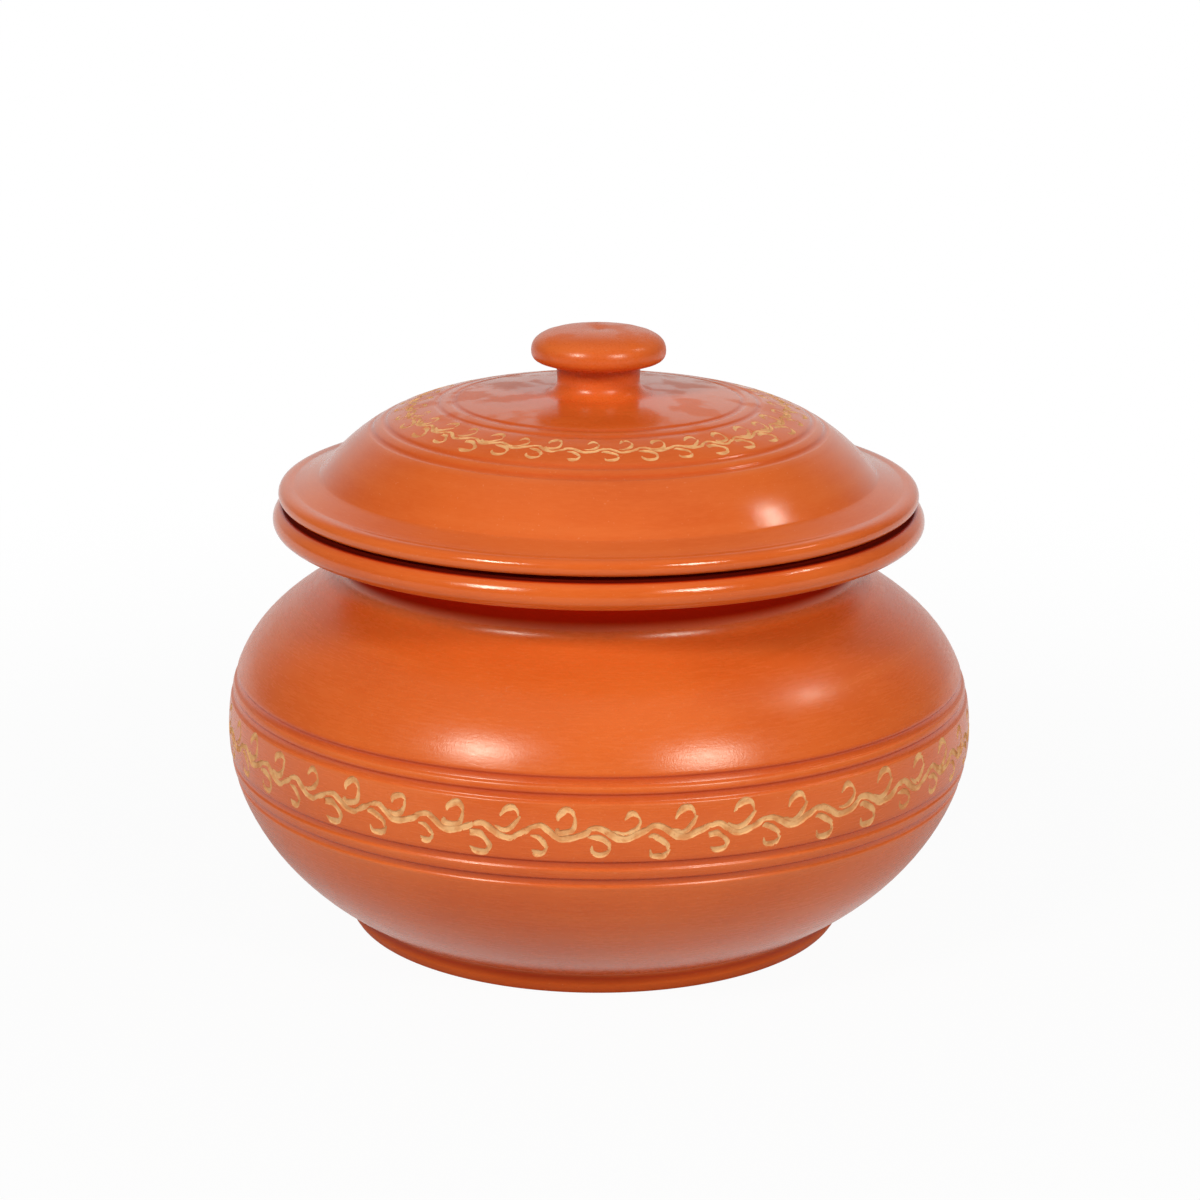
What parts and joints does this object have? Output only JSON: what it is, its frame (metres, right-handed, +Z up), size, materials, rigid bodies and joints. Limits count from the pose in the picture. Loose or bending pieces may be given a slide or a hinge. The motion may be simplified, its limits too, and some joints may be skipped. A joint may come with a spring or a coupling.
{
  "type": "lidded serving pot",
  "caption": "Wheel-turned terracotta serving pot with a round belly, everted rim, carved vine bands and a domed lid with a knob.",
  "frame": {"origin": "centre of the foot ring's flat face, on the surface the pot stands on", "axes": "+Z up along the axis the pot was turned on; the pot is round, so X and Y are free"},
  "size_m": [0.231, 0.231, 0.1856],
  "materials": {
    "burnished_terracotta": "burnished red slip, satin, with pale clay in the carved lines"
  },
  "bodies": {
    "pot": {"pot": "burnished_terracotta"},
    "lid": {"lid": "burnished_terracotta"}
  },
  "joints": [
    {"name": "lid_lift", "type": "slide", "parent": "pot", "child": "lid", "axis": [0, 0, 1], "range_m": [0, 0.12]}
  ]
}
